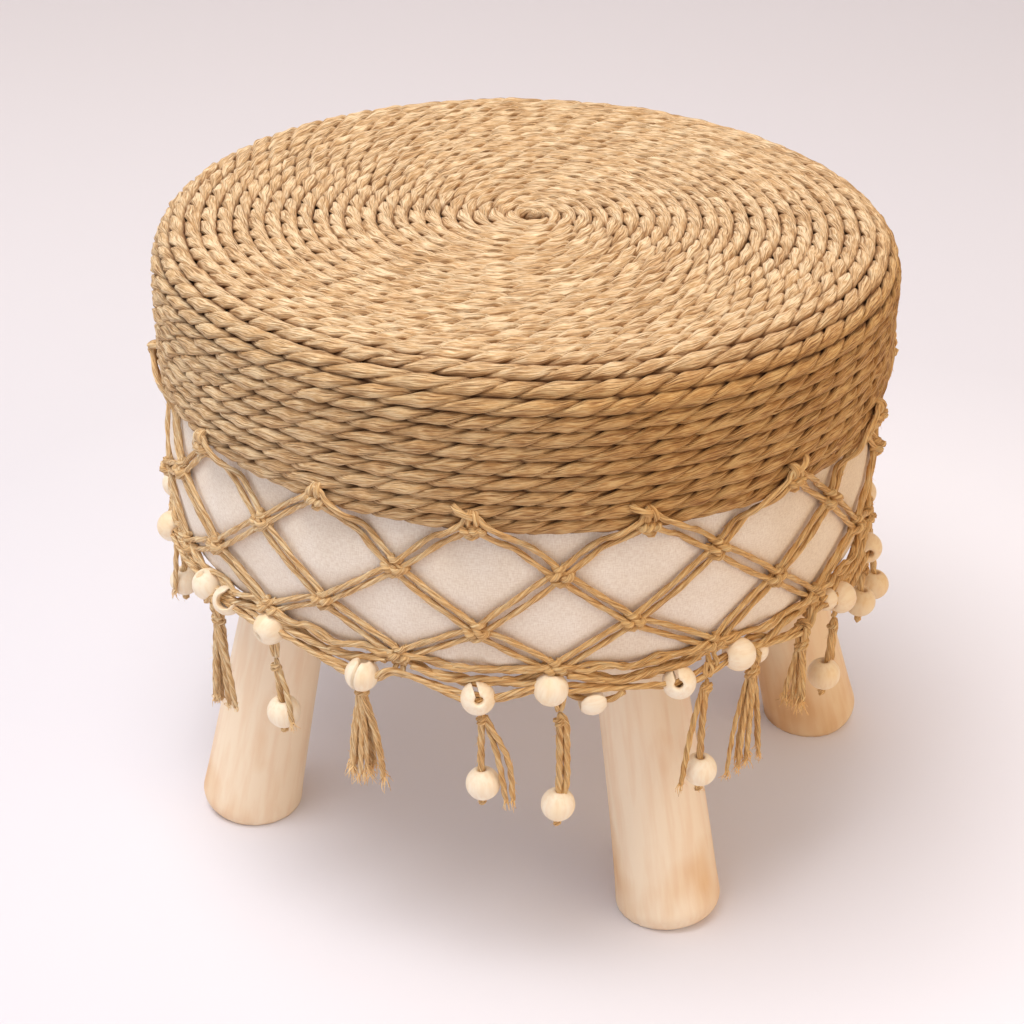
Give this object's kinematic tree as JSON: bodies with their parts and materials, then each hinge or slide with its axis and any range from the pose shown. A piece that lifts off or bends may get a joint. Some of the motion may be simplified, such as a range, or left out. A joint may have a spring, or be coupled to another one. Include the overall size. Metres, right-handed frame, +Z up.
{
  "type": "mudda stool",
  "caption": "Round low footstool: padded linen drum on splayed wooden legs, with a twisted-rope top and side and a knotted jute net skirt with wooden beads and tassels.",
  "frame": {"origin": "on the floor under the middle of the seat", "axes": "+Z up; -Y is the front that the picture shows"},
  "size_m": [0.3976, 0.3948, 0.3369],
  "materials": {
    "seagrass_rope": "thick two-ply twisted plant-fibre rope, matt, fibrous",
    "jute_cord": "thin twisted jute cord, matt, slightly hairy",
    "linen": "plain-weave off-white linen, matt",
    "leg_wood": "pale beech, sanded, matt lacquer",
    "bead_wood": "pale unfinished wood, smooth",
    "plywood": "raw plywood",
    "foam": "upholstery foam, open cell",
    "lining_felt": "thin non-woven dust cover, matt",
    "screw_steel": "zinc-plated wood screw"
  },
  "bodies": {
    "root": {"leg_left": "leg_wood", "leg_front": "leg_wood", "leg_right": "leg_wood", "leg_back": "leg_wood", "leg_screw_left": "screw_steel", "leg_screw_front": "screw_steel", "leg_screw_right": "screw_steel", "leg_screw_back": "screw_steel", "seat_board": "plywood", "underside_lining": "lining_felt", "foam_core": "foam", "linen_cover": "linen", "rope_top_coil": "seagrass_rope", "rope_side_winding": "seagrass_rope", "macrame_net": "jute_cord", "collar_bead_01": "bead_wood", "collar_bead_02": "bead_wood", "collar_bead_03": "bead_wood", "collar_bead_04": "bead_wood", "collar_bead_05": "bead_wood", "collar_bead_06": "bead_wood", "collar_bead_07": "bead_wood", "collar_bead_08": "bead_wood", "collar_bead_09": "bead_wood", "collar_bead_10": "bead_wood", "collar_bead_11": "bead_wood", "collar_bead_12": "bead_wood", "collar_bead_13": "bead_wood", "collar_bead_14": "bead_wood", "collar_bead_15": "bead_wood", "collar_bead_16": "bead_wood", "collar_bead_17": "bead_wood", "collar_bead_18": "bead_wood", "collar_bead_19": "bead_wood", "collar_bead_20": "bead_wood", "collar_bead_21": "bead_wood"},
    "pendant_01": {"pendant_cord_01": "jute_cord", "pendant_bead_01": "bead_wood"},
    "pendant_02": {"pendant_cord_02": "jute_cord", "pendant_bead_02": "bead_wood"},
    "pendant_03": {"pendant_cord_03": "jute_cord", "pendant_bead_03": "bead_wood"},
    "pendant_04": {"pendant_cord_04": "jute_cord", "pendant_bead_04": "bead_wood"},
    "pendant_05": {"pendant_cord_05": "jute_cord", "pendant_bead_05": "bead_wood"},
    "pendant_06": {"pendant_cord_06": "jute_cord", "pendant_bead_06": "bead_wood"},
    "pendant_07": {"pendant_cord_07": "jute_cord", "pendant_bead_07": "bead_wood"},
    "pendant_08": {"pendant_cord_08": "jute_cord", "pendant_bead_08": "bead_wood"},
    "pendant_09": {"pendant_cord_09": "jute_cord", "pendant_bead_09": "bead_wood"},
    "pendant_10": {"pendant_cord_10": "jute_cord", "pendant_bead_10": "bead_wood"},
    "pendant_11": {"pendant_cord_11": "jute_cord", "pendant_bead_11": "bead_wood"},
    "pendant_12": {"pendant_cord_12": "jute_cord", "pendant_bead_12": "bead_wood"}
  },
  "joints": [
    {"name": "pendant_swing_01", "type": "hinge", "parent": "root", "child": "pendant_01", "pos_m": [-0.11817, -0.14856, 0.1577], "axis": [-0.7826, 0.6225, 0], "range_deg": [-45, 60]},
    {"name": "pendant_swing_02", "type": "hinge", "parent": "root", "child": "pendant_02", "pos_m": [-0.01654, -0.1891, 0.1577], "axis": [-0.9962, 0.0872, 0], "range_deg": [-45, 60]},
    {"name": "pendant_swing_03", "type": "hinge", "parent": "root", "child": "pendant_03", "pos_m": [0.01984, -0.18878, 0.1577], "axis": [-0.9945, -0.1045, 0], "range_deg": [-45, 60]},
    {"name": "pendant_swing_04", "type": "hinge", "parent": "root", "child": "pendant_04", "pos_m": [0.09076, -0.16715, 0.1638], "axis": [-0.8788, -0.4772, 0], "range_deg": [-20, 60]},
    {"name": "pendant_swing_05", "type": "hinge", "parent": "root", "child": "pendant_05", "pos_m": [0.1601, -0.10199, 0.1577], "axis": [-0.5373, -0.8434, 0], "range_deg": [-45, 60]},
    {"name": "pendant_swing_06", "type": "hinge", "parent": "root", "child": "pendant_06", "pos_m": [0.18378, -0.04753, 0.1577], "axis": [-0.2504, -0.9681, 0], "range_deg": [-45, 60]},
    {"name": "pendant_swing_07", "type": "hinge", "parent": "root", "child": "pendant_07", "pos_m": [0.16761, 0.08912, 0.1577], "axis": [0.4695, -0.8829, 0], "range_deg": [-45, 60]},
    {"name": "pendant_swing_08", "type": "hinge", "parent": "root", "child": "pendant_08", "pos_m": [0.11158, 0.15357, 0.1577], "axis": [0.809, -0.5878, 0], "range_deg": [-45, 60]},
    {"name": "pendant_swing_09", "type": "hinge", "parent": "root", "child": "pendant_09", "pos_m": [0.03296, 0.18694, 0.1577], "axis": [0.9848, -0.1736, 0], "range_deg": [-45, 60]},
    {"name": "pendant_swing_10", "type": "hinge", "parent": "root", "child": "pendant_10", "pos_m": [-0.09203, 0.16602, 0.1577], "axis": [0.8746, 0.4848, 0], "range_deg": [-45, 60]},
    {"name": "pendant_swing_11", "type": "hinge", "parent": "root", "child": "pendant_11", "pos_m": [-0.1555, 0.10888, 0.1577], "axis": [0.5736, 0.8192, 0], "range_deg": [-45, 60]},
    {"name": "pendant_swing_12", "type": "hinge", "parent": "root", "child": "pendant_12", "pos_m": [-0.18971, 0.00662, 0.1577], "axis": [0.0349, 0.9994, 0], "range_deg": [-45, 60]}
  ]
}
